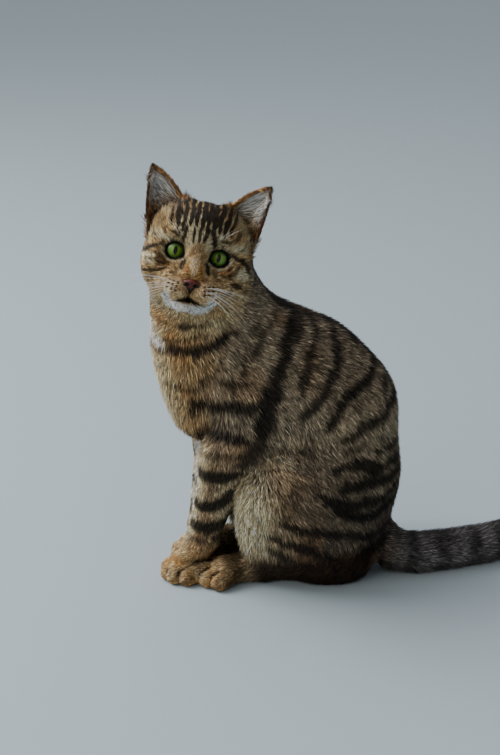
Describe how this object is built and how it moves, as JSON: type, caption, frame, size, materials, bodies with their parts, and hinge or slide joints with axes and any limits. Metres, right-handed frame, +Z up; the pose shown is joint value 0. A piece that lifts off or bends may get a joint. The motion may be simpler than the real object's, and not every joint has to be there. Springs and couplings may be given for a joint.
{
  "type": "cat",
  "caption": "Life-size short-haired tabby cat, sitting upright with its forelegs together, head turned to its left and tail laid straight back along the floor.",
  "frame": {"origin": "on the floor, under the middle of the seat, between the heels", "axes": "+Z up, the body faces -X, the cat's left side is towards -Y; its head is turned to that side and its tail runs out along +X"},
  "size_m": [0.451, 0.1539, 0.3612],
  "materials": {
    "coat": "short ticked grey-brown fur with dark stripes",
    "warm_coat": "short ochre fur on the throat, breast and paws",
    "dark_coat": "short dark ringed fur on the tail",
    "ear_skin": "thin skin under very short hair",
    "nose_leather": "bare moist brick-red skin",
    "eye": "wet clear cornea over a yellow-green iris"
  },
  "bodies": {
    "root": {"nose": "nose_leather", "eye_left": "eye", "eye_right": "eye", "head": "coat", "ear_left": "ear_skin", "ear_right": "ear_skin", "tail_1": "dark_coat", "tail_2": "dark_coat", "tail_3": "dark_coat", "tail_4": "dark_coat", "neck": "warm_coat", "forepaw_left": "warm_coat", "foreleg_left": "coat", "hind_paw_left": "warm_coat", "hind_foot_left": "coat", "thigh_left": "coat", "forepaw_right": "warm_coat", "foreleg_right": "coat", "hind_paw_right": "warm_coat", "hind_foot_right": "coat", "thigh_right": "coat", "chest": "warm_coat", "trunk": "coat"}
  },
  "joints": []
}
